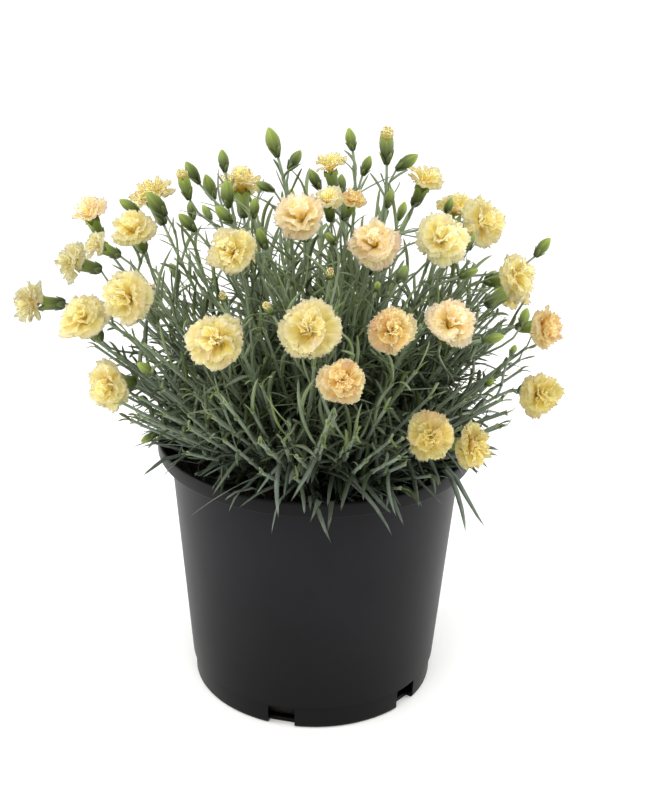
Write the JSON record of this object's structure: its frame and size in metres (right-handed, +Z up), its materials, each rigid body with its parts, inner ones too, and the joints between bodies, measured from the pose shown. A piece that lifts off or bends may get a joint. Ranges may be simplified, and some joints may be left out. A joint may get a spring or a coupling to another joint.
{
  "type": "potted dianthus plant",
  "caption": "Bushy dianthus in a round tapered nursery pot: thin grassy leaves and branching stems with frilled double blooms and closed buds.",
  "frame": {"origin": "centre of the pot's base, on the surface that it stands on", "axes": "+Z up along the pot's axis; -Y is the front of the plant; +X is to the right as seen from the front"},
  "size_m": [0.3694, 0.3106, 0.4015],
  "materials": {
    "pot": "satin",
    "soil": "matte",
    "foliage": "matte",
    "petals_pale": "matte",
    "petals_peach": "matte",
    "petals_gold": "matte"
  },
  "bodies": {
    "root": {"pot": "pot", "soil": "soil", "spray_left_low": "foliage", "spray_left": "foliage", "spray_left_front": "foliage", "spray_left_high": "foliage", "spray_up_left": "foliage", "spray_front_left": "foliage", "spray_top_left": "foliage", "spray_top": "foliage", "spray_front": "foliage", "spray_mid_right": "foliage", "spray_right_high": "foliage", "spray_right_upper": "foliage", "spray_right": "foliage", "spray_right_low": "foliage", "spray_back_left": "foliage", "spray_back": "foliage", "spray_back_right": "foliage", "spray_right_back": "foliage", "bloom_left_low_1": "petals_pale", "bloom_left_1": "petals_pale", "bloom_left_2": "petals_pale", "bloom_left_3": "petals_pale", "bloom_left_front_1": "petals_pale", "bloom_left_front_2": "petals_pale", "bloom_left_front_3": "petals_pale", "bloom_left_high_1": "petals_pale", "bloom_front_left_1": "petals_pale", "bloom_front_left_2": "petals_pale", "bloom_top_left_1": "petals_pale", "bloom_top_1": "petals_pale", "bloom_top_2": "petals_peach", "bloom_top_3": "petals_pale", "bloom_front_1": "petals_pale", "bloom_front_2": "petals_peach", "bloom_mid_right_1": "petals_peach", "bloom_mid_right_2": "petals_peach", "bloom_right_high_1": "petals_pale", "bloom_right_high_2": "petals_pale", "bloom_right_upper_1": "petals_pale", "bloom_right_upper_2": "petals_pale", "bloom_right_1": "petals_pale", "bloom_right_2": "petals_peach", "bloom_right_low_1": "petals_pale", "bloom_right_low_2": "petals_gold", "bloom_right_low_3": "petals_gold", "bloom_back_left_1": "petals_pale", "bloom_back_left_2": "petals_peach", "bloom_back_left_3": "petals_pale", "bloom_back_1": "petals_pale", "bloom_back_2": "petals_pale", "bloom_back_3": "petals_pale", "bloom_back_right_1": "petals_pale", "bloom_back_right_2": "petals_peach", "bloom_right_back_1": "petals_pale", "bloom_right_back_2": "petals_pale", "bloom_right_back_3": "petals_pale"}
  },
  "joints": []
}
